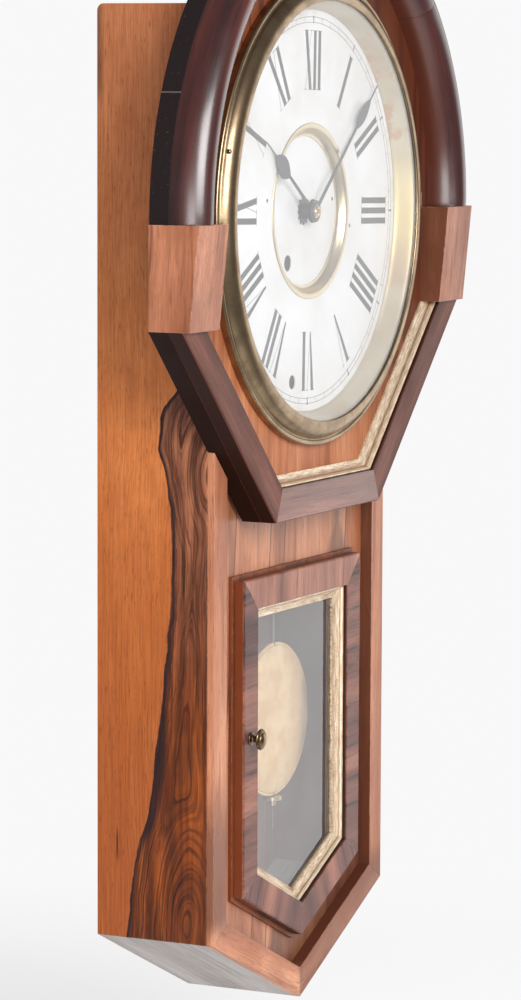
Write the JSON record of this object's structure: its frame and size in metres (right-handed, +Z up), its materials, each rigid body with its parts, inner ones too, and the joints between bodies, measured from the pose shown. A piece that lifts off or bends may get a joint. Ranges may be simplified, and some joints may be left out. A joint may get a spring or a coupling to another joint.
{
  "type": "wall clock",
  "caption": "Drop-octagon wall clock: round-topped head with dial and hinged bezel over a deep pointed case whose glazed door shows the pendulum.",
  "frame": {"origin": "centre of the hanger plate's hole on the wall plane", "axes": "+X to the viewer's right, +Z up, +Y into the wall (the clock's front faces -Y)"},
  "size_m": [0.4608, 0.1282, 0.8115],
  "materials": {
    "case_board_wood": "satin stained veneer with fine upright grain",
    "pale_wood": "bare scuffed underside",
    "pine": "plain sawn board",
    "face_veneer": "satin veneer",
    "panel_veneer": "satin figured veneer",
    "door_veneer": "satin cross-banded veneer",
    "gilt": "worn gold leaf over dark ground",
    "ebonised": "dark stained edge",
    "polished_rosewood": "glossy shellac",
    "block_veneer": "satin veneer",
    "octagon_veneer": "satin veneer",
    "dial_paint": "satin off-white enamel",
    "polished_brass": "polished",
    "aged_brass": "aged, brighter where rubbed",
    "movement_brass": "lightly tarnished",
    "bob_brass": "worn lacquered sheet",
    "window_glass": "clear",
    "blued_steel": "blued",
    "dark_wire": "dull",
    "steel": "plain"
  },
  "bodies": {
    "case": {"backboard": "pine", "bezel_hinge_bracket": "aged_brass", "block_left": "block_veneer", "block_right": "block_veneer", "bottom_boards": "pale_wood", "case_hinge_leaves": "aged_brass", "dial": "dial_paint", "dial_centre_ring": "polished_brass", "door_surround": "face_veneer", "face_rails": "face_veneer", "face_stile_left": "face_veneer", "face_stile_right": "face_veneer", "front_panel": "panel_veneer", "half_round_arch": "polished_rosewood", "hanger_plate": "steel", "head_board": "ebonised", "hinge_pins": "steel", "mainspring": "steel", "movement_back_plate": "movement_brass", "movement_front_plate": "movement_brass", "movement_pillars": "movement_brass", "octagon_gilt": "gilt", "octagon_rail_bottom": "octagon_veneer", "octagon_rail_left": "octagon_veneer", "octagon_rail_right": "octagon_veneer", "screws": "steel", "side_board_left": "case_board_wood", "side_board_right": "case_board_wood", "top_board": "case_board_wood"},
    "door": {"door_rail_top": "door_veneer", "door_rails_bottom": "door_veneer", "door_stile_left": "door_veneer", "door_stile_right": "door_veneer", "door_gilt": "gilt", "door_glass": "window_glass", "door_glass_beads": "pine", "door_hinge_leaves": "aged_brass"},
    "latch": {"door_knob": "aged_brass", "latch_tongue": "steel"},
    "bezel": {"bezel": "aged_brass", "dial_glass": "window_glass", "sight_ring": "dial_paint"},
    "minute_hand": {"minute_hand": "blued_steel", "cannon_pinion": "movement_brass", "hand_nut": "polished_brass"},
    "hour_hand": {"hour_hand": "blued_steel", "hour_wheel": "movement_brass"},
    "minute_wheel": {"minute_wheel": "movement_brass"},
    "great_wheel": {"great_wheel": "movement_brass"},
    "second_wheel": {"second_wheel": "movement_brass"},
    "centre_wheel": {"centre_wheel": "movement_brass"},
    "third_wheel": {"third_wheel": "movement_brass"},
    "escape_wheel": {"escape_wheel": "movement_brass"},
    "winding_arbor": {"winding_arbor": "steel"},
    "click": {"click": "steel"},
    "verge": {"verge": "steel"},
    "pendulum": {"suspension_spring": "steel", "pendulum_rod": "dark_wire", "pendulum_bob": "bob_brass"},
    "rating_nut": {"rating_nut": "polished_brass"}
  },
  "joints": [
    {"name": "door_hinge", "type": "hinge", "parent": "case", "child": "door", "pos_m": [0.1003, -0.0905, -0.495], "axis": [0, 0, 1], "range_deg": [0, 105]},
    {"name": "latch_turn", "type": "hinge", "parent": "door", "child": "latch", "pos_m": [-0.0865, -0.095, -0.4934], "axis": [0, -1, 0], "range_deg": [0, 90]},
    {"name": "bezel_hinge", "type": "hinge", "parent": "case", "child": "bezel", "pos_m": [0.1735, -0.1073, -0.118], "axis": [0, 0, 1], "range_deg": [0, 90]},
    {"name": "minute_hand_turn", "type": "hinge", "parent": "case", "child": "minute_hand", "pos_m": [0, -0.103, -0.118], "axis": [0, -1, 0], "continuous": true},
    {"name": "minute_wheel_turn", "type": "hinge", "parent": "case", "child": "minute_wheel", "pos_m": [0, -0.075, -0.0988], "axis": [0, -1, 0], "continuous": true},
    {"name": "hour_hand_turn", "type": "hinge", "parent": "case", "child": "hour_hand", "pos_m": [0, -0.101, -0.118], "axis": [0, -1, 0], "continuous": true},
    {"name": "great_wheel_turn", "type": "hinge", "parent": "case", "child": "great_wheel", "pos_m": [-0.0247, -0.056, -0.1551], "axis": [0, -1, 0], "continuous": true},
    {"name": "second_wheel_turn", "type": "hinge", "parent": "case", "child": "second_wheel", "pos_m": [-0.02781, -0.052, -0.12024], "axis": [0, -1, 0], "continuous": true},
    {"name": "centre_wheel_turn", "type": "hinge", "parent": "case", "child": "centre_wheel", "pos_m": [0, -0.046, -0.118], "axis": [0, -1, 0], "continuous": true},
    {"name": "third_wheel_turn", "type": "hinge", "parent": "case", "child": "third_wheel", "pos_m": [0.01318, -0.04, -0.14271], "axis": [0, -1, 0], "continuous": true},
    {"name": "escape_wheel_turn", "type": "hinge", "parent": "case", "child": "escape_wheel", "pos_m": [0.009, -0.05, -0.164], "axis": [0, -1, 0], "continuous": true},
    {"name": "winding_turn", "type": "hinge", "parent": "case", "child": "winding_arbor", "pos_m": [-0.0247, -0.06, -0.1551], "axis": [0, -1, 0], "continuous": true},
    {"name": "click_lift", "type": "hinge", "parent": "great_wheel", "child": "click", "pos_m": [-0.0157, -0.058, -0.1411], "axis": [0, -1, 0], "range_deg": [0, 20], "stiffness_Nm_per_rad": 0.002},
    {"name": "verge_rock", "type": "hinge", "parent": "case", "child": "verge", "pos_m": [0, -0.066, -0.148], "axis": [0, -1, 0], "range_deg": [-4, 4]},
    {"name": "pendulum_swing", "type": "hinge", "parent": "case", "child": "pendulum", "pos_m": [0, -0.07, -0.138], "axis": [0, -1, 0], "range_deg": [-2.5, 2.5]},
    {"name": "rating_nut_turn", "type": "hinge", "parent": "pendulum", "child": "rating_nut", "pos_m": [0, -0.07, -0.5603], "axis": [0, 0, 1], "continuous": true}
  ],
  "couplings": [
    {"joint": "minute_wheel_turn", "follows": "minute_hand_turn", "ratio": -0.33333},
    {"joint": "hour_hand_turn", "follows": "minute_hand_turn", "ratio": 0.083333},
    {"joint": "great_wheel_turn", "follows": "third_wheel_turn", "ratio": -0.0027435},
    {"joint": "second_wheel_turn", "follows": "third_wheel_turn", "ratio": 0.016461},
    {"joint": "centre_wheel_turn", "follows": "third_wheel_turn", "ratio": -0.11111},
    {"joint": "escape_wheel_turn", "follows": "third_wheel_turn", "ratio": -7.8571},
    {"joint": "verge_rock", "follows": "pendulum_swing", "ratio": 1.2381}
  ]
}
